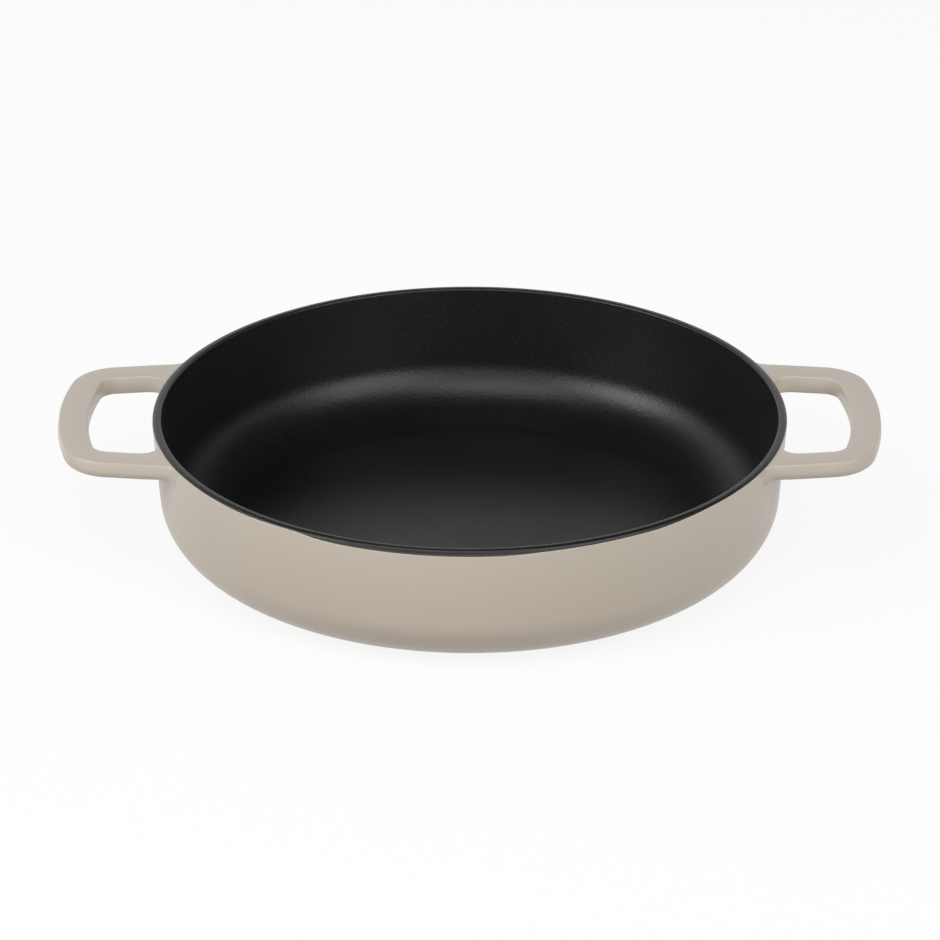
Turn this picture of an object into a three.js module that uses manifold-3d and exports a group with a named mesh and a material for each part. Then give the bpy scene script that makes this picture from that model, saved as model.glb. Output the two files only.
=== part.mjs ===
// Enamelled cast-iron frying pan with two loop handles.
// Millimetres, +Z up. The origin is the middle of the base, and +X runs through the handles.

import * as THREE from 'three';
import { mergeVertices } from 'three/addons/utils/BufferGeometryUtils.js';
import loadManifold from 'manifold-3d';

const manifold = await loadManifold();
manifold.setup();

// Bowl: the visible, enamelled sizes, and the iron behind them
const rimDiameter = 286;
const panHeight = 62.2;
const wallDraft = 4.5; // degrees that the wall leans out towards the rim
const wallThickness = 3;
const floorThickness = 4;
const outerCoveWidth = 32.5;
const outerCoveHeight = 26.2;
const innerCoveWidth = 29;
const innerCoveHeight = 23;

// Rim: a black band over the lip, flush with the wall
const rimBandHeight = 1;
const rimOuterRounding = 1;
const rimInnerRounding = 1;

// Enamel coats
const outerEnamel = 0.4;
const rimEnamel = 0.4;
const liningEnamel = 0.3;

// Handles: flat cast bars bent into a level loop
const handleReach = 42.4; // from the rim to the outermost point of the loop
const handleOpening = 84.2; // clear width between the arms at the rim
const handleArmWidth = 12.6;
const handleArmTaper = 7.4; // degrees that the arms close in away from the bowl
const handleEndWidth = 12.8;
const handleBowRadius = 150;
const handleOuterCorner = 22;
const handleInnerCorner = 8;
const handleThickness = 8.1;
const handleTopRounding = 1.1;
const handleBottomRounding = 2.4;
const handleBelowBand = 0.1; // from the rim band's lower edge down to the top of the handles

// Fillets that spread the arms into the wall
const rootInnerFillet = 8;
const rootOuterFillet = 5;
const rootUnderFillet = 5;

// Clearances where the handles meet the bowl, and between the enamel and the iron behind it
const rootClearance = 0.3;
const coatClearance = 0.05;

// Fineness of the curves
const roundFacets = 56;
const coveSteps = 6;
const rimSteps = 2;
const bowSteps = 3;
const cornerSteps = 4;
const armSteps = 2;
const rootSteps = 3;
const roundingSteps = 2;
const acrossSteps = 3;

// Points and rings closer together than these are taken as one
const leastPointGap = 0.001;
const leastRingGap = 0.01;
const weldDistance = 0.0001;

// Sizes that follow from the ones above
const draft = THREE.MathUtils.degToRad(wallDraft);
const rimRadius = rimDiameter / 2;
const bandBottom = panHeight - rimBandHeight;
const innerRimRadius = rimRadius - outerEnamel - wallThickness - liningEnamel;
const floorLevel = outerEnamel + floorThickness + liningEnamel;
const handleTop = bandBottom - handleBelowBand;
const handleBottom = handleTop - handleThickness;
const armTaper = THREE.MathUtils.degToRad(handleArmTaper);

const greigeEnamel = { color: 0xbeb3a6, roughness: 0.25, metalness: 0 };
const blackEnamel = { color: 0x1c1c1c, roughness: 0.55, metalness: 0 };
const castIron = { color: 0x4a4845, roughness: 0.7, metalness: 0.9 };

// Points of a quarter oval between a flat floor and a leaning wall.
// The inset moves them along the oval's own normal, towards the inside of the oval.
function coveLine(wallRadiusAt, floorZ, width, height, inset) {
  const lastTurn = -Math.atan((height / width) * Math.tan(draft));
  const flatRadius = wallRadiusAt(floorZ + height * (1 + Math.sin(lastTurn))) - width * Math.cos(lastTurn);
  const points = [];
  for (let i = 0; i <= coveSteps; i++) {
    const turn = THREE.MathUtils.lerp(-Math.PI / 2, lastTurn, i / coveSteps);
    const normal = new THREE.Vector2(Math.cos(turn) / width, Math.sin(turn) / height).normalize();
    const radius = flatRadius + width * Math.cos(turn) - inset * normal.x;
    const z = floorZ + height * (1 + Math.sin(turn)) - inset * normal.y;
    points.push(new THREE.Vector2(i === 0 ? flatRadius : radius, z));
  }
  return points;
}

function outerWallRadius(z) {
  return rimRadius - Math.tan(draft) * (bandBottom - z);
}

function innerWallRadius(z) {
  return innerRimRadius - Math.tan(draft) * (bandBottom - z);
}

// Outside of the bowl from the edge of the base up to the rim band
function outsideLine(inset) {
  const line = coveLine(outerWallRadius, 0, outerCoveWidth, outerCoveHeight, inset);
  line.push(new THREE.Vector2(rimRadius - inset, bandBottom));
  return line;
}

// Inside of the bowl from the rim band down to the middle of the floor
function insideLine(inset) {
  const line = coveLine(innerWallRadius, floorLevel, innerCoveWidth, innerCoveHeight, -inset).reverse();
  line.unshift(new THREE.Vector2(innerRimRadius + inset, bandBottom));
  line.push(new THREE.Vector2(0, floorLevel - inset));
  return line;
}

// Rim from the band's outer edge over the lip to its inner edge
function rimLine(inset) {
  const outerRounding = Math.min(rimOuterRounding, rimBandHeight);
  const innerRounding = Math.min(rimInnerRounding, rimBandHeight);
  const line = [new THREE.Vector2(rimRadius - inset, bandBottom)];
  for (let i = 0; i <= rimSteps; i++) {
    const turn = (Math.PI / 2) * (i / rimSteps);
    const radius = rimRadius - outerRounding + (outerRounding - inset) * Math.cos(turn);
    const z = panHeight - outerRounding + (outerRounding - inset) * Math.sin(turn);
    line.push(new THREE.Vector2(radius, z));
  }
  for (let i = 0; i <= rimSteps; i++) {
    const turn = (Math.PI / 2) * (1 + i / rimSteps);
    const radius = innerRimRadius + innerRounding + (innerRounding - inset) * Math.cos(turn);
    const z = panHeight - innerRounding + (innerRounding - inset) * Math.sin(turn);
    line.push(new THREE.Vector2(radius, z));
  }
  line.push(new THREE.Vector2(innerRimRadius + inset, bandBottom));
  return line;
}

// Solid of revolution about Z from a line that starts and ends on the axis, or closes on itself
function turned(line) {
  const spaced = line.filter((point, i) => i === 0 || point.distanceTo(line[i - 1]) > leastPointGap);
  return new THREE.LatheGeometry(spaced, roundFacets).rotateX(Math.PI / 2);
}

// Ring-shaped coat between two lines that run the same way, the first one facing outwards
function turnedCoat(faceLine, backLine) {
  return turned([...faceLine, ...backLine.slice().reverse(), faceLine[0]]);
}

function bowlCastingGeometry() {
  const underside = new THREE.Vector2(0, outerEnamel);
  return turned([underside, ...outsideLine(outerEnamel), ...rimLine(rimEnamel), ...insideLine(liningEnamel)]);
}

function liningGeometry() {
  const face = insideLine(0);
  const back = insideLine(liningEnamel - coatClearance).reverse();
  return turned([...back, ...face]);
}

function baseCoatGeometry() {
  const edge = outsideLine(0)[0].x;
  const back = outerEnamel - coatClearance;
  const outline = [[0, 0], [edge, 0], [edge, back], [0, back]];
  return turned(outline.map(([radius, z]) => new THREE.Vector2(radius, z)));
}

// Plan edge of a loop on its +Y side: the bowed end, then the corner up to where the arm's edge starts.
// Points are [outwards, sideways]. The corner touches both the bow and the arm's edge.
function loopEdge(reach, cornerRadius, halfSpan) {
  const bowCentre = reach - handleBowRadius;
  const across = new THREE.Vector2(Math.sin(armTaper), Math.cos(armTaper));
  const edgeOffset = across.x * rimRadius + across.y * halfSpan;
  const side = edgeOffset - cornerRadius - across.x * bowCentre;
  const along = Math.sqrt((handleBowRadius - cornerRadius) ** 2 - side ** 2);
  const centre = new THREE.Vector2(
    bowCentre + side * across.x + along * across.y,
    side * across.y - along * across.x,
  );
  const bowTurn = Math.atan2(centre.y, centre.x - bowCentre);
  const armTurn = Math.PI / 2 - armTaper;
  const points = [];
  for (let i = 0; i <= bowSteps; i++) {
    const turn = (bowTurn * i) / bowSteps;
    points.push([bowCentre + handleBowRadius * Math.cos(turn), handleBowRadius * Math.sin(turn)]);
  }
  for (let i = 1; i <= cornerSteps; i++) {
    const turn = THREE.MathUtils.lerp(bowTurn, armTurn, i / cornerSteps);
    points.push([centre.x + cornerRadius * Math.cos(turn), centre.y + cornerRadius * Math.sin(turn)]);
  }
  return points;
}

const loopEnd = rimRadius + handleReach;
const loopOuterEdge = loopEdge(loopEnd, handleOuterCorner, handleOpening / 2 + handleArmWidth);
const loopInnerEdge = loopEdge(loopEnd - handleEndWidth, handleInnerCorner, handleOpening / 2);

// Growth of a fillet at a distance from the wall's enamelled face
function filletGrowth(radius, distance) {
  const left = THREE.MathUtils.clamp(radius - distance, 0, radius);
  return radius - Math.sqrt(radius ** 2 - left ** 2);
}

// Cross-section of a bar as [distance from its inner side, height], once round from the outer side.
// Its upper half runs inwards and its lower half runs back out, with as many points in each.
function barSection(width, inset, top, bottom) {
  const upper = handleTopRounding - inset;
  const lower = handleBottomRounding - inset;
  const halves = [
    [upper, top - handleTopRounding, 0, width - handleTopRounding, handleTopRounding],
    [lower, bottom + handleBottomRounding, Math.PI, handleBottomRounding, width - handleBottomRounding],
  ];
  const points = [];
  for (const [radius, centreZ, firstTurn, from, to] of halves) {
    const level = centreZ + radius * Math.sin(firstTurn + Math.PI / 2);
    for (let i = 0; i <= roundingSteps; i++) {
      const turn = firstTurn + (Math.PI / 2) * (i / roundingSteps);
      points.push([from + radius * Math.cos(turn), centreZ + radius * Math.sin(turn)]);
    }
    for (let i = 1; i < acrossSteps; i++) {
      points.push([THREE.MathUtils.lerp(from, to, i / acrossSteps), level]);
    }
    for (let i = 0; i <= roundingSteps; i++) {
      const turn = firstTurn + (Math.PI / 2) * (1 + i / roundingSteps);
      points.push([to + radius * Math.cos(turn), centreZ + radius * Math.sin(turn)]);
    }
  }
  return points;
}

// One ring of a loop away from the wall, at a station along its bow and corner
function openRing(inset, station) {
  const outer = new THREE.Vector2(...loopOuterEdge[station]);
  const inner = new THREE.Vector2(...loopInnerEdge[station]);
  const width = outer.distanceTo(inner);
  return barSection(width, inset, handleTop, handleBottom).map(([fromInner, z]) => {
    const point = inner.clone().lerp(outer, fromInner / width);
    return new THREE.Vector3(point.x, point.y, z);
  });
}

const armStart = {
  outer: loopOuterEdge[bowSteps + cornerSteps],
  inner: loopInnerEdge[bowSteps + cornerSteps],
};

// How far out the bowl's iron wall lies at a place beside and above the middle of the pan
function wallReach(sideways, z) {
  const radius = outerWallRadius(z) - outerEnamel;
  return Math.sqrt(radius ** 2 - sideways ** 2);
}

const innerArmLength = armStart.inner[0] - wallReach(armStart.inner[1], handleTop);
const outerArmLength = armStart.outer[0] - wallReach(armStart.outer[1], handleTop);

// One ring of an arm at a distance from the iron wall, measured along its inner edge.
// It is spread by the root fillets, and follows the wall's curve as it nears it.
function armRing(inset, distance) {
  const fromCoat = distance - outerEnamel;
  const bottom = handleBottom - filletGrowth(rootUnderFillet, fromCoat);
  const share = distance / innerArmLength;
  const opened = Math.tan(armTaper) * (1 - share);
  const outerSide = armStart.outer[1] + opened * outerArmLength + filletGrowth(rootOuterFillet, fromCoat);
  const innerSide = armStart.inner[1] + opened * innerArmLength - filletGrowth(rootInnerFillet, fromCoat);
  const width = outerSide - innerSide;
  return barSection(width, inset, handleTop, bottom).map(([fromInner, z]) => {
    const sideways = innerSide + fromInner;
    const startsAt = THREE.MathUtils.lerp(armStart.inner[0], armStart.outer[0], fromInner / width);
    const outwards = THREE.MathUtils.lerp(wallReach(sideways, z), startsAt, share);
    return new THREE.Vector3(outwards, sideways, z);
  });
}

// Distances of an arm's rings from the iron wall, from its corner down to its root
function armDistances() {
  const filletEnd = outerEnamel + Math.max(rootInnerFillet, rootOuterFillet, rootUnderFillet);
  const distances = [];
  for (let i = 1; i <= armSteps; i++) {
    distances.push(THREE.MathUtils.lerp(innerArmLength, filletEnd, i / armSteps));
  }
  for (let i = 1; i <= rootSteps; i++) {
    const left = (1 - i / rootSteps) ** 2;
    distances.push(THREE.MathUtils.lerp(outerEnamel, filletEnd, left));
  }
  distances.push(rootClearance);
  return distances.filter((distance, i) => i === 0 || distances[i - 1] - distance > leastRingGap);
}

// All rings of a loop, from the root on its -Y side round to the root on its +Y side
function loopRings(inset) {
  const half = [];
  for (let station = 0; station <= bowSteps + cornerSteps; station++) {
    half.push(openRing(inset, station));
  }
  for (const distance of armDistances()) {
    half.push(armRing(inset, distance));
  }
  const mirrored = half.slice(1).reverse();
  const otherHalf = mirrored.map((ring) => ring.map(({ x, y, z }) => new THREE.Vector3(x, -y, z)));
  return [...otherHalf, ...half];
}

// Solid through rings of points, whose faces are filled in by a function that is given a way to add quads
function loftGeometry(rings, fill) {
  const size = rings[0].length;
  const corners = rings.flat();
  const triangles = [];
  const quad = (a, b, c, d) => triangles.push(a, b, c, a, c, d);
  fill(quad, size);
  const geometry = new THREE.BufferGeometry().setFromPoints(corners);
  geometry.setIndex(triangles);
  return geometry;
}

// Side faces between one run of rings, facing out, or in when turned round
function loftSides(quad, size, firstRing, lastRing, facesIn) {
  for (let ring = firstRing; ring < lastRing; ring++) {
    for (let i = 0; i < size; i++) {
      const next = (i + 1) % size;
      const [a, b] = [ring * size + i, ring * size + next];
      const [c, d] = [b + size, a + size];
      quad(...(facesIn ? [a, b, c, d] : [a, d, c, b]));
    }
  }
}

// Closed bar through rings, with its two ends filled
function loftedBar(rings) {
  return loftGeometry(rings, (quad, size) => {
    loftSides(quad, size, 0, rings.length - 1, false);
    const last = (rings.length - 1) * size;
    for (let i = 0; i < size / 2 - 1; i++) {
      const facing = size - 1 - i;
      quad(i, i + 1, facing - 1, facing);
      quad(last + i, last + facing, last + facing - 1, last + i + 1);
    }
  });
}

// Closed skin between outer and inner rings, open at both ends of the bar that it wraps
function loftedSkin(outerRings, innerRings) {
  const count = outerRings.length;
  return loftGeometry([...outerRings, ...innerRings], (quad, size) => {
    loftSides(quad, size, 0, count - 1, false);
    loftSides(quad, size, count, 2 * count - 1, true);
    const lastOuter = (count - 1) * size;
    const firstInner = count * size;
    const lastInner = (2 * count - 1) * size;
    for (let i = 0; i < size; i++) {
      const next = (i + 1) % size;
      quad(i, next, firstInner + next, firstInner + i);
      quad(lastOuter + i, lastInner + i, lastInner + next, lastOuter + next);
    }
  });
}

function toSolid(geometry) {
  const bare = geometry.clone();
  bare.deleteAttribute('normal');
  bare.deleteAttribute('uv');
  const merged = mergeVertices(bare, weldDistance);
  const vertProperties = new Float32Array(merged.attributes.position.array);
  const triVerts = new Uint32Array(merged.index.array);
  return new manifold.Manifold(new manifold.Mesh({ numProp: 3, vertProperties, triVerts }));
}

function toGeometry(solid) {
  const mesh = solid.getMesh();
  const geometry = new THREE.BufferGeometry();
  geometry.setAttribute('position', new THREE.BufferAttribute(new Float32Array(mesh.vertProperties), 3));
  geometry.setIndex(new THREE.BufferAttribute(new Uint32Array(mesh.triVerts), 1));
  return geometry;
}

// Plug through the wall's coat where an arm joins the bowl, clear of the root all round
function rootPlug(sideSign, endSign) {
  const depth = outerEnamel + rootClearance;
  const root = armRing(-rootClearance, 0);
  const rings = [depth, -depth].map((step) => root.map((point) => new THREE.Vector3(
    endSign * (point.x + step),
    sideSign * point.y,
    point.z,
  )));
  const facesOut = sideSign * endSign > 0;
  return toSolid(loftedBar(facesOut ? rings : rings.reverse()));
}

function wallCoatGeometry() {
  let coat = toSolid(turnedCoat(outsideLine(0), outsideLine(outerEnamel - coatClearance)));
  for (const endSign of [-1, 1]) {
    for (const sideSign of [-1, 1]) {
      coat = coat.subtract(rootPlug(sideSign, endSign));
    }
  }
  return toGeometry(coat);
}

function addPiece(parent, name, geometry, finish) {
  const piece = new THREE.Mesh(geometry, new THREE.MeshStandardMaterial(finish));
  piece.name = name;
  parent.add(piece);
}

const pan = new THREE.Group();
addPiece(pan, 'bowl_casting', bowlCastingGeometry(), castIron);
addPiece(pan, 'wall_enamel', wallCoatGeometry(), greigeEnamel);
addPiece(pan, 'base_enamel', baseCoatGeometry(), greigeEnamel);
addPiece(pan, 'lining_enamel', liningGeometry(), blackEnamel);
addPiece(pan, 'rim_enamel', turnedCoat(rimLine(0), rimLine(rimEnamel - coatClearance)), blackEnamel);

// The right handle is the loop as drawn, and the left one is the same loop turned half round
const handleTurns = { right: 0, left: Math.PI };
for (const [side, turn] of Object.entries(handleTurns)) {
  const handle = new THREE.Group();
  handle.rotation.z = turn;
  addPiece(handle, `${side}_handle_casting`, loftedBar(loopRings(outerEnamel)), castIron);
  addPiece(handle, `${side}_handle_enamel`, loftedSkin(loopRings(0), loopRings(outerEnamel)), greigeEnamel);
  pan.add(handle);
}

export default pan;
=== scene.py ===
import math
import bmesh
import bpy
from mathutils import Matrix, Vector


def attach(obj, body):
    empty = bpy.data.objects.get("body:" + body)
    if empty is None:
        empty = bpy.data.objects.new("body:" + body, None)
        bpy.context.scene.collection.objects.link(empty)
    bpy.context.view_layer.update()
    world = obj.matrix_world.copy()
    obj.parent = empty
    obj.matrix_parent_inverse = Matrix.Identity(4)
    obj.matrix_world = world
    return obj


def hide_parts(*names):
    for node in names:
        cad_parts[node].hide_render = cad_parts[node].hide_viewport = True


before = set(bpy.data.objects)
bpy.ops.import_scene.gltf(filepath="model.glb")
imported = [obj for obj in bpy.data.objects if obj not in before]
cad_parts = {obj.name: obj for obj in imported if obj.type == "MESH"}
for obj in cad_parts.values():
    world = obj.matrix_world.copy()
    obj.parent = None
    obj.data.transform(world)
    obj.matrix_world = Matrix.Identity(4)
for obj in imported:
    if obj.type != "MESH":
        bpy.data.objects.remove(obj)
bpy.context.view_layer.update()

mm = 0.001  # sizes below are millimetres, Blender works in metres
weldGap = 0.002 * mm  # points nearer than this are merged
levelGap = 0.01 * mm  # points nearer than this lie on one level
smoothAngle = math.radians(35)
spinSteps = 192


# Camera, at the photograph's place
shot = {
    "aim": (0.14, 0, 33.49),
    "distance": 2860,
    "elevation": 25.27,
    "lens": 242,
    "sensor": 36,
}


def setCamera():
    tilt = math.radians(shot["elevation"])
    back = Vector((0, -math.cos(tilt), math.sin(tilt)))
    bpy.ops.object.camera_add(rotation=(math.pi / 2 - tilt, 0, 0))
    camera = bpy.context.object
    camera.name = "photo_camera"
    camera.location = (Vector(shot["aim"]) + back * shot["distance"]) * mm
    camera.data.lens = shot["lens"]
    camera.data.sensor_width = shot["sensor"]
    bpy.context.scene.camera = camera


setCamera()
print("camera set")


# Drawing helpers
def deselectAll():
    bpy.ops.object.select_all(action="DESELECT")


def selectOnly(piece):
    deselectAll()
    piece.select_set(True)
    bpy.context.view_layer.objects.active = piece


def copyPiece(piece, name):
    selectOnly(piece)
    bpy.ops.object.duplicate()
    copy = bpy.context.object
    copy.name = name
    copy.data.name = name
    return copy


def ovalTurn(centre, width, height, first, last, steps):  # points along an ellipse, between two angles
    points = []
    for i in range(steps + 1):
        turn = math.radians(first + (last - first) * i / steps)
        points.append((centre[0] + width * math.cos(turn), centre[1] + height * math.sin(turn)))
    return points


def drawLine(name, points):  # one vertex, extruded from point to point
    spots = [Vector(point) * mm for point in points]
    deselectAll()
    bpy.ops.mesh.primitive_plane_add(size=mm)
    line = bpy.context.object
    line.name = name
    line.data.name = name
    bpy.ops.object.mode_set(mode="EDIT")
    bpy.ops.mesh.select_mode(type="VERT")
    bpy.ops.mesh.merge(type="CENTER")
    bpy.ops.transform.translate(value=spots[0])
    for here, there in zip(spots, spots[1:]):
        bpy.ops.mesh.extrude_vertices_move(TRANSFORM_OT_translate={"value": there - here})
    bpy.ops.object.mode_set(mode="OBJECT")
    return line


def spinLine(name, profile):  # profile is radius and height
    piece = drawLine(name, [(radius, 0, z) for radius, z in profile])
    bpy.ops.object.mode_set(mode="EDIT")
    bpy.ops.mesh.select_all(action="SELECT")
    bpy.ops.mesh.spin(steps=spinSteps, angle=math.tau, center=(0, 0, 0), axis=(0, 0, 1))
    bpy.ops.mesh.select_all(action="SELECT")
    bpy.ops.mesh.remove_doubles(threshold=weldGap)
    bpy.ops.mesh.normals_make_consistent(inside=False)
    bpy.ops.object.mode_set(mode="OBJECT")
    bpy.ops.object.shade_smooth_by_angle(angle=smoothAngle)
    return piece


def finishPiece(piece, nodes, material):
    piece.data.materials.clear()
    piece.data.materials.append(material)
    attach(piece, "root")
    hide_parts(*nodes)


# Material helpers
def linear(hexColour):
    channels = [int(hexColour[i:i + 2], 16) / 255 for i in (0, 2, 4)]
    curve = [c / 12.92 if c <= 0.04045 else ((c + 0.055) / 1.055) ** 2.4 for c in channels]
    return (*curve, 1)


def addNode(tree, kind, settings, links=()):
    node = tree.nodes.new(kind)
    for name, value in settings.items():
        if isinstance(name, int) or name in node.inputs:
            node.inputs[name].default_value = value
        else:
            setattr(node, name, value)
    for socket, source in dict(links).items():
        tree.links.new(source, node.inputs[socket])
    return node


def newMaterial(name):
    material = bpy.data.materials.new(name)
    material.use_nodes = True
    tree = material.node_tree
    tree.nodes.clear()
    place = addNode(tree, "ShaderNodeTexCoord", {}).outputs["Object"]
    return material, tree, place


def setRamp(node, stops, colours):
    for element, stop, colour in zip(node.color_ramp.elements, stops, colours):
        element.position = stop
        element.color = linear(colour)


# Vitreous enamel, sprayed on and fired: glossy, a touch uneven, clouded where the coat varies in depth,
# with painted shade that darkens it towards the bottom
greige = {
    "foot": "b8ada0",  # painted shade: the tone low on the wall, drawn darker where less light reaches
    "top": "c2b8ac",
    "shadeRise": (12, 60),  # heights between which the painted shade lifts from the foot tone to the top tone
    "cloud": 45,
    "cloudShare": 0.3,
    "stops": (0.1, 0.9),
    "roughness": (0.28, 0.36),
    "smear": 18,
    "ior": 1.5,
}


def makeGreigeEnamel():
    material, tree, place = newMaterial("gloss greige vitreous enamel")
    cloud = addNode(tree, "ShaderNodeTexNoise", {"Scale": 1 / (greige["cloud"] * mm), "Detail": 3},
                    {"Vector": place})
    # painted shade: the enamel is drawn darker low on the pan, fading to the top tone between the two
    # given heights
    height = addNode(tree, "ShaderNodeSeparateXYZ", {}, {0: place}).outputs["Z"]
    low, high = greige["shadeRise"]
    shadeRise = addNode(tree, "ShaderNodeMapRange", {"From Min": low * mm, "From Max": high * mm},
                   {"Value": height})
    tone = addNode(tree, "ShaderNodeMix", {0: greige["cloudShare"]},
                   {2: shadeRise.outputs["Result"], 3: cloud.outputs["Fac"]})
    tint = addNode(tree, "ShaderNodeValToRGB", {}, {"Fac": tone.outputs[0]})
    setRamp(tint, greige["stops"], (greige["foot"], greige["top"]))
    smear = addNode(tree, "ShaderNodeTexNoise", {"Scale": 1 / (greige["smear"] * mm), "Detail": 2},
                    {"Vector": place})
    least, most = greige["roughness"]
    rough = addNode(tree, "ShaderNodeMapRange", {"To Min": least, "To Max": most},
                    {"Value": smear.outputs["Fac"]})
    glaze = addNode(tree, "ShaderNodeBsdfPrincipled", {"IOR": greige["ior"]},
                    {"Base Color": tint.outputs["Color"], "Roughness": rough.outputs["Result"]})
    addNode(tree, "ShaderNodeOutputMaterial", {}, {"Surface": glaze.outputs["BSDF"]})
    return material


# Black enamel with a fine sandy grain, fired to a satin: dark, with broad soft reflections,
# and greyer where the rim band was wiped thin
satinBlack = {
    "pit": "0c0c0c",
    "peak": "131313",
    "grain": 1.6,  # the real grit is finer, and is drawn this coarse to show
    "grainDepth": 0.1,
    "stops": (0.35, 0.7),
    "roughness": (0.33, 0.4),
    "smear": 25,
    "ior": 1.5,
    "specular": 0.5,
    "thin": "4f4a43",  # where the rim band was wiped down thin over the wall's coat
    "thinRise": (59.8, 60.5),  # thin up to the first height, black from the second
}


def makeSatinBlackEnamel(name, wiped):
    material, tree, place = newMaterial(name)
    grain = addNode(tree, "ShaderNodeTexNoise", {"Scale": 1 / (satinBlack["grain"] * mm), "Detail": 2},
                    {"Vector": place})
    tint = addNode(tree, "ShaderNodeValToRGB", {}, {"Fac": grain.outputs["Fac"]})
    setRamp(tint, satinBlack["stops"], (satinBlack["pit"], satinBlack["peak"]))
    colour = tint.outputs["Color"]
    if wiped:
        height = addNode(tree, "ShaderNodeSeparateXYZ", {}, {0: place}).outputs["Z"]
        low, high = satinBlack["thinRise"]
        thin = addNode(tree, "ShaderNodeMapRange",
                       {"From Min": low * mm, "From Max": high * mm, "To Min": 1, "To Max": 0},
                       {"Value": height})
        colour = addNode(tree, "ShaderNodeMix", {"data_type": "RGBA", 7: linear(satinBlack["thin"])},
                         {0: thin.outputs["Result"], 6: colour}).outputs[2]
    smear = addNode(tree, "ShaderNodeTexNoise", {"Scale": 1 / (satinBlack["smear"] * mm), "Detail": 2},
                    {"Vector": place})
    least, most = satinBlack["roughness"]
    rough = addNode(tree, "ShaderNodeMapRange", {"To Min": least, "To Max": most},
                    {"Value": smear.outputs["Fac"]})
    bump = addNode(tree, "ShaderNodeBump", {"Strength": 1, "Distance": satinBlack["grainDepth"] * mm},
                   {"Height": grain.outputs["Fac"]})
    glaze = addNode(tree, "ShaderNodeBsdfPrincipled",
                    {"IOR": satinBlack["ior"], "Specular IOR Level": satinBlack["specular"]},
                    {"Base Color": colour, "Roughness": rough.outputs["Result"],
                     "Normal": bump.outputs["Normal"]})
    addNode(tree, "ShaderNodeOutputMaterial", {}, {"Surface": glaze.outputs["BSDF"]})
    return material


# Grey iron as it leaves the sand mould: dull, dark and grainy
iron = {
    "dark": "3a3836",
    "light": "57534f",
    "grain": 1.5,
    "grainDepth": 0.1,
    "stops": (0.3, 0.7),
    "metallic": 0.9,
    "roughness": 0.7,
}


def makeCastIron():
    material, tree, place = newMaterial("sand cast grey iron")
    grain = addNode(tree, "ShaderNodeTexNoise", {"Scale": 1 / (iron["grain"] * mm), "Detail": 4},
                    {"Vector": place})
    tint = addNode(tree, "ShaderNodeValToRGB", {}, {"Fac": grain.outputs["Fac"]})
    setRamp(tint, iron["stops"], (iron["dark"], iron["light"]))
    bump = addNode(tree, "ShaderNodeBump", {"Strength": 1, "Distance": iron["grainDepth"] * mm},
                   {"Height": grain.outputs["Fac"]})
    metal = addNode(tree, "ShaderNodeBsdfPrincipled",
                    {"Metallic": iron["metallic"], "Roughness": iron["roughness"]},
                    {"Base Color": tint.outputs["Color"], "Normal": bump.outputs["Normal"]})
    addNode(tree, "ShaderNodeOutputMaterial", {}, {"Surface": metal.outputs["BSDF"]})
    return material


greigeEnamel = makeGreigeEnamel()
blackEnamel = makeSatinBlackEnamel("satin black vitreous enamel", False)
rimEnamel = makeSatinBlackEnamel("satin black vitreous enamel, wiped thin", True)
castIron = makeCastIron()
print("materials made")


# Bowl: wall, base, lining, rim band and the iron behind them
bowl = {
    "height": 62.2,
    "draft": 4.5,  # degrees that the wall leans out
    "wallTop": 143,  # outside radius just under the rim band
    "liningTop": 138.9,  # inside radius just under the rim band
    "floor": 4.7,
    "outerCove": (32.5, 26.2),
    "innerCove": (29, 23),
    "coveSteps": 24,
    "coat": 0.4,  # enamel on the outside and the rim
    "liningCoat": 0.3,
}
band = {
    "radius": 142.75,  # a hair inside the wall's coat, which ends in a rounded edge under it
    "height": 0.8,
    "outerRounding": 1.9,  # the rim is crowned, so this and the inner one leave little flat
    "innerRounding": 1.1,
    "edgeRounding": 0.35,  # of the wall's coat where it meets the band
    "edgeReach": 0.5,  # this much of the wall's coat moves with the band's lower edge
    "steps": 10,
    "footDrop": 2,  # the most that the hand-wiped lower edge sinks
    # how the edge wanders: degrees from the front, and how far it sinks there
    "foot": [(-180, 0.2), (-120, 0.1), (-92, 0.3), (-80, 0.6), (-72, 0.05), (-60, 0.1), (-50, 0.35),
             (-44, 0.55), (-39, 0.35), (-33, 0.05), (-31, 0.4), (-28, 1.2), (-25, 1.55), (-20, 1.75),
             (-8, 1.92), (5, 2), (9, 1.75), (13, 1.3), (20, 1.05), (30, 0.95), (35, 1.1), (38, 0.9),
             (42, 0.55), (48, 0.1), (56, 0), (72, 0.05), (90, 0.2), (180, 0.2)],
}
slope = math.tan(math.radians(bowl["draft"]))
bandFoot = bowl["height"] - band["height"]


def coveLine(topRadius, floorZ, cove, inset):  # from the flat up to where the wall starts
    width, height = cove
    last = -math.degrees(math.atan(height / width * slope))
    wallZ = floorZ + height * (1 + math.sin(math.radians(last)))
    flat = topRadius - slope * (bandFoot - wallZ) - width * math.cos(math.radians(last))
    return ovalTurn((flat, floorZ + height), width - inset, height - inset, -90, last, bowl["coveSteps"])


def outsideLine(inset, drop=0):
    cove = coveLine(bowl["wallTop"], 0, bowl["outerCove"], inset)
    return cove + [(bowl["wallTop"] - inset, bandFoot - drop)]


def wallLine():  # the wall's face, rounded off where it meets the rim band
    rounding = band["edgeRounding"]
    centre = (bowl["wallTop"] - rounding, bandFoot - rounding)
    return outsideLine(0)[:-1] + ovalTurn(centre, rounding, rounding, 0, 90, band["steps"])


def footDrop(degrees):
    for (here, drop), (there, nextDrop) in zip(band["foot"], band["foot"][1:]):
        if degrees <= there:
            return drop + (nextDrop - drop) * (degrees - here) / (there - here)


def wallShare(spot):  # how much of the drop a point of the wall's coat takes
    return 1 if spot.z > bandFoot - band["edgeReach"] else 0


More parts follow.
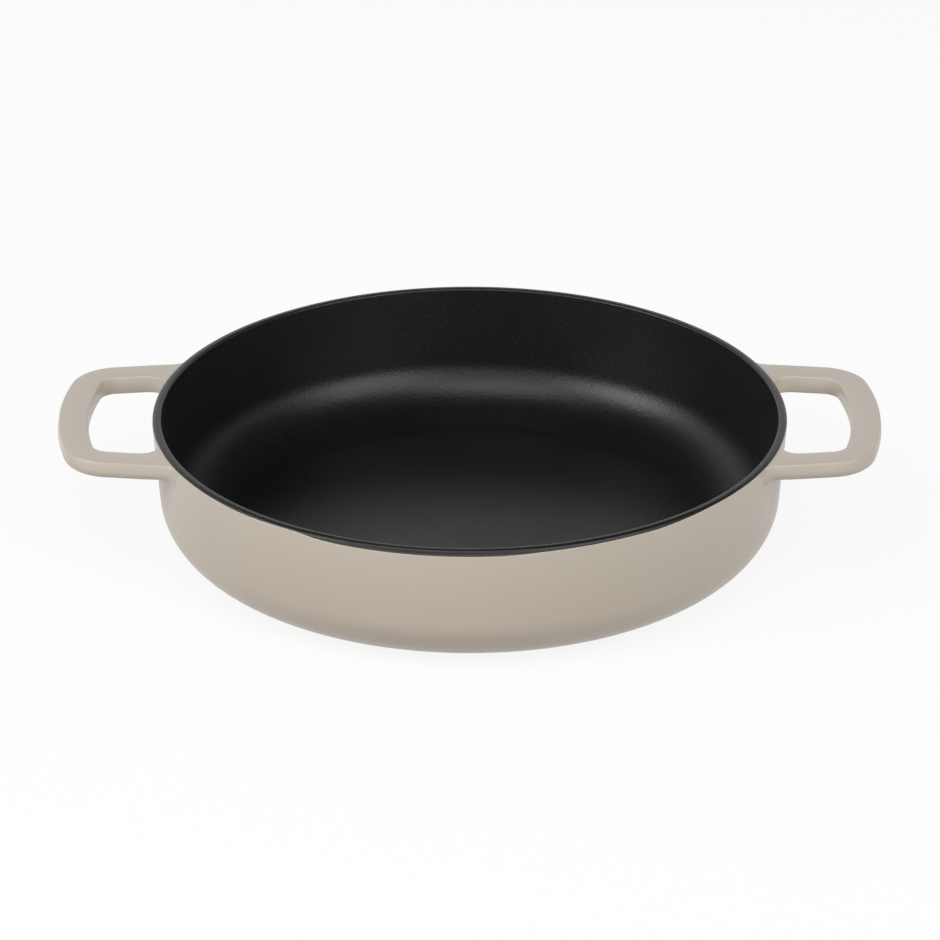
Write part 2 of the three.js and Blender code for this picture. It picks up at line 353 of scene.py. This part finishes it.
def rimShare(spot):  # the band's outer rounding stretches from none at its top to all at its foot
    aside = spot.xy.length - band["radius"] + band["outerRounding"]
    if aside < 0:
        return 0
    return 1 - math.sin(math.atan2((spot.z - bandFoot) / band["height"], aside / band["outerRounding"]))


def sinkFoot(piece, share):  # the band's lower edge, wiped by hand, wanders round the pan
    foot = piece.vertex_groups.new(name="foot")
    for vertex in piece.data.vertices:
        degrees = math.degrees(math.atan2(vertex.co.x, -vertex.co.y))
        drop = footDrop(degrees) * share(vertex.co / mm)
        foot.add([vertex.index], drop / band["footDrop"], "REPLACE")
    sink = piece.modifiers.new("sink", "DISPLACE")
    sink.direction = "Z"
    sink.mid_level = 0
    sink.strength = -band["footDrop"] * mm
    sink.vertex_group = "foot"
    bpy.ops.object.modifier_apply(modifier="sink")


def insideLine(inset):
    cove = coveLine(bowl["liningTop"], bowl["floor"], bowl["innerCove"], -inset)
    return [(bowl["liningTop"] + inset, bandFoot)] + cove[::-1] + [(0, bowl["floor"] - inset)]


def rimLine(inset, drop=0):
    outer, inner = band["outerRounding"], band["innerRounding"]
    outerCentre = (band["radius"] - outer, bandFoot - drop)
    innerCentre = (bowl["liningTop"] + inner, bowl["height"] - inner)
    return (ovalTurn(outerCentre, outer - inset, band["height"] + drop - inset, 0, 90, band["steps"])
            + ovalTurn(innerCentre, inner - inset, inner - inset, 90, 180, band["steps"])
            + [(bowl["liningTop"] + inset, bandFoot)])


def makeWall():
    face, back = wallLine(), outsideLine(bowl["coat"])
    wall = spinLine("wall_coat", face + back[::-1] + face[:1])
    sinkFoot(wall, wallShare)
    finishPiece(wall, ["wall_enamel"], greigeEnamel)


def makeBase():
    edge = outsideLine(0)[0][0]
    base = spinLine("base_coat", [(0, 0), (edge, 0), (edge, bowl["coat"]), (0, bowl["coat"])])
    finishPiece(base, ["base_enamel"], greigeEnamel)


def makeLining():
    lining = spinLine("lining_coat", insideLine(bowl["liningCoat"])[::-1] + insideLine(0))
    finishPiece(lining, ["lining_enamel"], blackEnamel)


def makeRim():
    face, back = rimLine(0), rimLine(bowl["coat"])
    rim = spinLine("rim_band", face + back[::-1] + face[:1])
    sinkFoot(rim, rimShare)
    finishPiece(rim, ["rim_enamel"], rimEnamel)


def makeBowlIron():
    outside = outsideLine(bowl["coat"], band["footDrop"]) + rimLine(bowl["coat"], band["footDrop"])
    line = [(0, bowl["coat"])] + outside + insideLine(bowl["liningCoat"])
    casting = spinLine("bowl_iron", line)
    finishPiece(casting, ["bowl_casting"], castIron)


makeWall()
makeBase()
makeLining()
makeRim()
makeBowlIron()
print("bowl made")


# Handles: one loop is modelled on the right and copied to the left
loop = {
    "reach": 185,
    "endWidth": 13,
    "opening": 84,
    "armWidth": 12.2,
    "armTaper": 7.4,
    "bowRadius": 150,
    "outerCorner": 22,
    "innerCorner": 8,
    "cut": 151,  # where the flat part of the loop ends and the roots begin
    "edgeAngle": 60,  # sharper edges than this outline the bar
    "top": 61.45,
    "thickness": 8.5,
    "parting": 4,  # mould line, below the top
    "partingRidge": 0.45,  # the sides draw in from it, up and down
    "topRounding": 0.8,
    "innerRounding": 1,  # along the bottom, on the inside of the loop
    "outerRounding": 3.6,
    "roundingSteps": 5,
    "bowSteps": 14,
    "cornerSteps": 12,
    "armSteps": 3,
}
root = {
    "innerFillet": 13,
    "outerFillet": 3.5,
    "underFillet": 5.5,
    "topFillet": 4,
    "topDip": 0.2,  # the top sinks to slip under the rim band
    "steps": 10,
    "coat": 0.4,
    "coreGap": 0.02,  # between the coat and the iron
    "sunk": 0.3,  # how far the roots reach into the wall's coat
    "guideRise": 1,  # how far the guide that they are drawn to goes on above the rim
}


def loopOutline(reach, corner, halfSpan):  # half outline, from the middle of the end to the cut
    bow = loop["bowRadius"]
    middle = reach - bow
    lean = math.radians(loop["armTaper"])
    offset = math.sin(lean) * band["radius"] + math.cos(lean) * halfSpan
    side = offset - corner - math.sin(lean) * middle
    along = math.sqrt((bow - corner) ** 2 - side ** 2)
    centre = (middle + side * math.sin(lean) + along * math.cos(lean),
              side * math.cos(lean) - along * math.sin(lean))
    bowEnd = math.degrees(math.atan2(centre[1], centre[0] - middle))
    points = ovalTurn((middle, 0), bow, bow, 0, bowEnd, loop["bowSteps"])
    points += ovalTurn(centre, corner, corner, bowEnd, 90 - loop["armTaper"], loop["cornerSteps"])[1:]
    startX, startY = points[-1]
    for i in range(1, loop["armSteps"] + 1):
        x = startX + (loop["cut"] - startX) * i / loop["armSteps"]
        points.append((x, startY + (startX - x) * math.tan(lean)))
    return points


def wholeOutline(half):
    mirrored = [(x, -y) for x, y in half[:0:-1]]
    return [(x, y, loop["top"]) for x, y in mirrored + half]


def selectFaces(piece, wanted):
    mesh = bmesh.from_edit_mesh(piece.data)
    bpy.ops.mesh.select_all(action="DESELECT")
    for face in mesh.faces:
        if wanted(face):
            face.select_set(True)
    bmesh.update_edit_mesh(piece.data)


def selectEdges(piece, wanted):
    mesh = bmesh.from_edit_mesh(piece.data)
    bpy.ops.mesh.select_mode(type="EDGE")
    bpy.ops.mesh.select_all(action="DESELECT")
    for edge in mesh.edges:
        if wanted(edge):
            edge.select_set(True)
    bmesh.update_edit_mesh(piece.data)


def liesAt(edge, z):
    return all(abs(v.co.z - z * mm) < levelGap for v in edge.verts)


def isOutline(edge, inside):  # between a flat face and a side, away from the cut ends
    atCut = all(v.co.x < loop["cut"] * mm + levelGap for v in edge.verts)
    if atCut or edge.calc_face_angle(0) < math.radians(loop["edgeAngle"]):
        return False
    side = min(edge.link_faces, key=lambda face: abs(face.normal.z))
    fromMiddle = side.calc_center_median() - Vector((loop["cut"] * mm, 0, 0))
    return (fromMiddle.xy.dot(side.normal.xy) < 0) == inside


def isCutEnd(face, side):  # the end of one arm, which looks to the wall
    middle = face.calc_center_median()
    toWall = -face.normal.x > abs(face.normal.y) + abs(face.normal.z)
    return toWall and middle.x < loop["cut"] * mm + levelGap and middle.y * side > 0


def filletGrowth(radius, distance):
    return radius - math.sqrt(radius ** 2 - max(radius - distance, 0) ** 2)


def armLength(y):  # from the cut to the wall
    return loop["cut"] - math.sqrt(bowl["wallTop"] ** 2 - y ** 2)


def makeLoopBar():
    outer = loopOutline(loop["reach"], loop["outerCorner"], loop["opening"] / 2 + loop["armWidth"])
    inner = loopOutline(loop["reach"] - loop["endWidth"], loop["innerCorner"], loop["opening"] / 2)
    innerLine = drawLine("inner_line", wholeOutline(inner))
    bar = drawLine("right_loop", wholeOutline(outer))
    innerLine.select_set(True)
    bpy.ops.object.join()
    bpy.ops.object.mode_set(mode="EDIT")
    bpy.ops.mesh.select_all(action="SELECT")
    bpy.ops.mesh.bridge_edge_loops()
    bpy.ops.mesh.select_all(action="SELECT")
    for step in (loop["parting"], loop["thickness"] - loop["parting"]):
        bpy.ops.mesh.extrude_region_move(TRANSFORM_OT_translate={"value": (0, 0, -step * mm)})
    bpy.ops.mesh.select_all(action="SELECT")
    bpy.ops.mesh.normals_make_consistent(inside=False)
    return bar, outer[-1][1], inner[-1][1]


def roundBar(bar):
    bottom = loop["top"] - loop["thickness"]
    selectEdges(bar, lambda edge: liesAt(edge, loop["top"] - loop["parting"]))
    bpy.ops.transform.shrink_fatten(value=loop["partingRidge"] * mm)
    for z, inside, rounding in ((loop["top"], True, loop["topRounding"]),
                                (loop["top"], False, loop["topRounding"]),
                                (bottom, True, loop["innerRounding"]),
                                (bottom, False, loop["outerRounding"])):
        selectEdges(bar, lambda edge: liesAt(edge, z) and isOutline(edge, inside))
        bpy.ops.mesh.bevel(offset=rounding * mm, segments=loop["roundingSteps"], affect="EDGES")


def rootRing(outerY, innerY, distance):  # inner side, outer side, top and thickness near the wall
    gone = 1 - distance / armLength((outerY + innerY) / 2)
    lean = math.tan(math.radians(loop["armTaper"])) * gone
    inner = innerY + lean * armLength(innerY) - filletGrowth(root["innerFillet"], distance)
    outer = outerY + lean * armLength(outerY) + filletGrowth(root["outerFillet"], distance)
    dip = root["topDip"] * filletGrowth(root["topFillet"], distance) / root["topFillet"]
    thickness = loop["thickness"] - dip + filletGrowth(root["underFillet"], distance)
    return inner, outer, loop["top"] - dip, thickness


def growRoots(bar, outerY, innerY):  # rings at the cut, spread by the fillets and then drawn to the wall
    reach = armLength((outerY + innerY) / 2)
    fillet = max(root["innerFillet"], root["outerFillet"], root["underFillet"])
    distances = [(reach + fillet) / 2]
    distances += [fillet * (1 - i / root["steps"]) ** 2 for i in range(root["steps"] + 1)]
    bar.vertex_groups.new(name="root")
    bpy.ops.mesh.select_mode(type="FACE")
    for side in (-1, 1):
        selectFaces(bar, lambda face: isCutEnd(face, side))
        inner, outer, top, thickness = innerY, outerY, loop["top"], loop["thickness"]
        for distance in distances:
            newInner, newOuter, newTop, newThickness = rootRing(outerY, innerY, distance)
            bpy.ops.mesh.extrude_region_move(TRANSFORM_OT_translate={"value": (0, 0, 0)})
            spread = (newOuter - newInner) / (outer - inner)
            bpy.ops.transform.resize(value=(1, spread, newThickness / thickness),
                                     center_override=(loop["cut"] * mm, side * inner * mm, top * mm))
            bpy.ops.transform.translate(value=(0, side * (newInner - inner) * mm, (newTop - top) * mm))
            inner, outer, top, thickness = newInner, newOuter, newTop, newThickness
            bpy.context.scene.tool_settings.vertex_group_weight = 1 - distance / reach
            bpy.ops.object.vertex_group_assign()
        bpy.ops.mesh.delete(type="FACE")
    bpy.ops.object.mode_set(mode="OBJECT")


def seatLoop(bar):
    line = outsideLine(root["sunk"])
    guide = spinLine("root_guide", line + [(line[-1][0], bowl["height"] + root["guideRise"])])
    selectOnly(bar)
    wrap = bar.modifiers.new("to wall", "SHRINKWRAP")
    wrap.target = guide
    wrap.wrap_method = "PROJECT"
    wrap.use_project_x = True
    wrap.use_positive_direction = False
    wrap.use_negative_direction = True
    wrap.vertex_group = "root"
    bpy.ops.object.modifier_apply(modifier="to wall")
    selectOnly(guide)
    bpy.ops.object.delete()


def makeCore(bar):  # the iron inside, a copy drawn in by the coat's thickness and closed at its roots
    core = copyPiece(bar, "right_loop_iron")
    bpy.ops.object.mode_set(mode="EDIT")
    bpy.ops.mesh.select_mode(type="VERT")
    bpy.ops.mesh.select_all(action="SELECT")
    bpy.ops.transform.shrink_fatten(value=-(root["coat"] + root["coreGap"]) * mm)
    bpy.ops.mesh.select_all(action="DESELECT")
    bpy.ops.mesh.select_non_manifold()
    bpy.ops.mesh.fill_holes(sides=0)
    bpy.ops.mesh.select_all(action="SELECT")
    bpy.ops.mesh.normals_make_consistent(inside=False)
    bpy.ops.object.mode_set(mode="OBJECT")
    return core


def coatLoop(bar):
    selectOnly(bar)
    skin = bar.modifiers.new("enamel", "SOLIDIFY")
    skin.thickness = root["coat"] * mm
    skin.offset = -1
    bpy.ops.object.modifier_apply(modifier="enamel")
    bpy.ops.object.shade_smooth_by_angle(angle=smoothAngle)


def copyToLeft(piece, name):
    copy = copyPiece(piece, name)
    copy.rotation_euler.z = math.pi
    bpy.ops.object.transform_apply(location=True, rotation=True, scale=True)
    return copy


def makeHandles():
    right, outerY, innerY = makeLoopBar()
    roundBar(right)
    growRoots(right, outerY, innerY)
    seatLoop(right)
    core = makeCore(right)
    coatLoop(right)
    left = copyToLeft(right, "left_loop")
    leftCore = copyToLeft(core, "left_loop_iron")
    finishPiece(right, ["right_handle_enamel"], greigeEnamel)
    finishPiece(left, ["left_handle_enamel"], greigeEnamel)
    finishPiece(core, ["right_handle_casting"], castIron)
    finishPiece(leftCore, ["left_handle_casting"], castIron)


makeHandles()
print("handles made")


# Pale floor, white backdrop and soft studio light
studio = {
    "floorSize": 8,  # metres, as are the lamps' places and sizes
    "floorDrop": 0.2,  # millimetres under the base, so that the two faces don't lie in one plane
    "floorColour": "c2c0bc",
    "floorShade": 0.12,  # how much of the floor's own shading, and of the pan's shadow, shows on the white
    "ambient": 0.28,
    "ceiling": 0.05,
    "fade": (0.48, 0.7),  # how high the white backdrop goes before the dark ceiling, as a sine
    "rightDrop": 0.28,  # how much lower it ends on the right
    "lampAim": (0, 0, 0.04),
    "lamps": [
        # name, place, width, height and watts
        ("left_softbox", (-1.78, -0.78, 0.95), 1.25, 1.35, 21.5),
        ("right_softbox", (1.35, -1.42, 1.15), 1.6, 1.9, 23),
        ("top_softbox", (-0.35, -1.35, 2.1), 1.6, 1.4, 17),
    ],
}


def whiteToCamera(tree):  # 1 where the backdrop shows as white: to the camera, in gloss and through glass
    path = addNode(tree, "ShaderNodeLightPath", {})
    gloss = addNode(tree, "ShaderNodeMath", {"operation": "MAXIMUM"},
                    {0: path.outputs["Is Camera Ray"], 1: path.outputs["Is Glossy Ray"]})
    return addNode(tree, "ShaderNodeMath", {"operation": "MAXIMUM"},
                   {0: gloss.outputs[0], 1: path.outputs["Is Transmission Ray"]}).outputs[0]


def makeFloor():
    deselectAll()
    bpy.ops.mesh.primitive_plane_add(size=studio["floorSize"], location=(0, 0, -studio["floorDrop"] * mm))
    floor = bpy.context.object
    floor.name = "studio_floor"
    material, tree, _ = newMaterial("matt white studio paper")
    white = addNode(tree, "ShaderNodeEmission", {"Color": linear("ffffff"), "Strength": 1})
    seen = whiteToCamera(tree)
    tone = addNode(tree, "ShaderNodeMix",
                   {"data_type": "RGBA", 6: linear(studio["floorColour"]), 7: linear("ffffff")}, {0: seen})
    paper = addNode(tree, "ShaderNodeBsdfDiffuse", {}, {"Color": tone.outputs[2]})
    share = addNode(tree, "ShaderNodeMath",
                    {"operation": "MULTIPLY", 1: 1 - studio["floorShade"]}, {0: seen})
    blend = addNode(tree, "ShaderNodeMixShader", {},
                    {0: share.outputs[0], 1: paper.outputs[0], 2: white.outputs[0]})
    addNode(tree, "ShaderNodeOutputMaterial", {}, {"Surface": blend.outputs[0]})
    floor.data.materials.append(material)


def makeBackdrop():
    world = bpy.data.worlds.new("white studio")
    bpy.context.scene.world = world
    world.use_nodes = True
    tree = world.node_tree
    tree.nodes.clear()
    place = addNode(tree, "ShaderNodeTexCoord", {}).outputs["Generated"]
    way = addNode(tree, "ShaderNodeSeparateXYZ", {}, {0: place})
    rightward = addNode(tree, "ShaderNodeMath", {"operation": "MAXIMUM", 1: 0}, {0: way.outputs["X"]})
    height = addNode(tree, "ShaderNodeMath", {"operation": "MULTIPLY_ADD", 1: studio["rightDrop"]},
                     {0: rightward.outputs[0], 2: way.outputs["Z"]})
    low, high = studio["fade"]
    fade = addNode(tree, "ShaderNodeMapRange",
                   {"From Min": low, "From Max": high, "To Min": 1, "To Max": studio["ceiling"]},
                   {"Value": height.outputs[0]})
    strength = addNode(tree, "ShaderNodeMapRange", {"To Min": studio["ambient"]},
                       {"Value": whiteToCamera(tree), "To Max": fade.outputs["Result"]})
    sky = addNode(tree, "ShaderNodeBackground", {"Color": linear("ffffff")},
                  {"Strength": strength.outputs["Result"]})
    addNode(tree, "ShaderNodeOutputWorld", {}, {"Surface": sky.outputs[0]})


def hangLamps():
    for name, place, width, height, watts in studio["lamps"]:
        aim = Vector(studio["lampAim"]) - Vector(place)
        turn = aim.to_track_quat("-Z", "Y").to_euler()
        bpy.ops.object.light_add(type="AREA", location=place, rotation=turn)
        lamp = bpy.context.object
        lamp.name = name
        lamp.data.shape = "RECTANGLE"
        lamp.data.size = width
        lamp.data.size_y = height
        lamp.data.energy = watts


makeFloor()
makeBackdrop()
hangLamps()
bpy.context.scene.view_settings.view_transform = "Standard"
print("studio set")
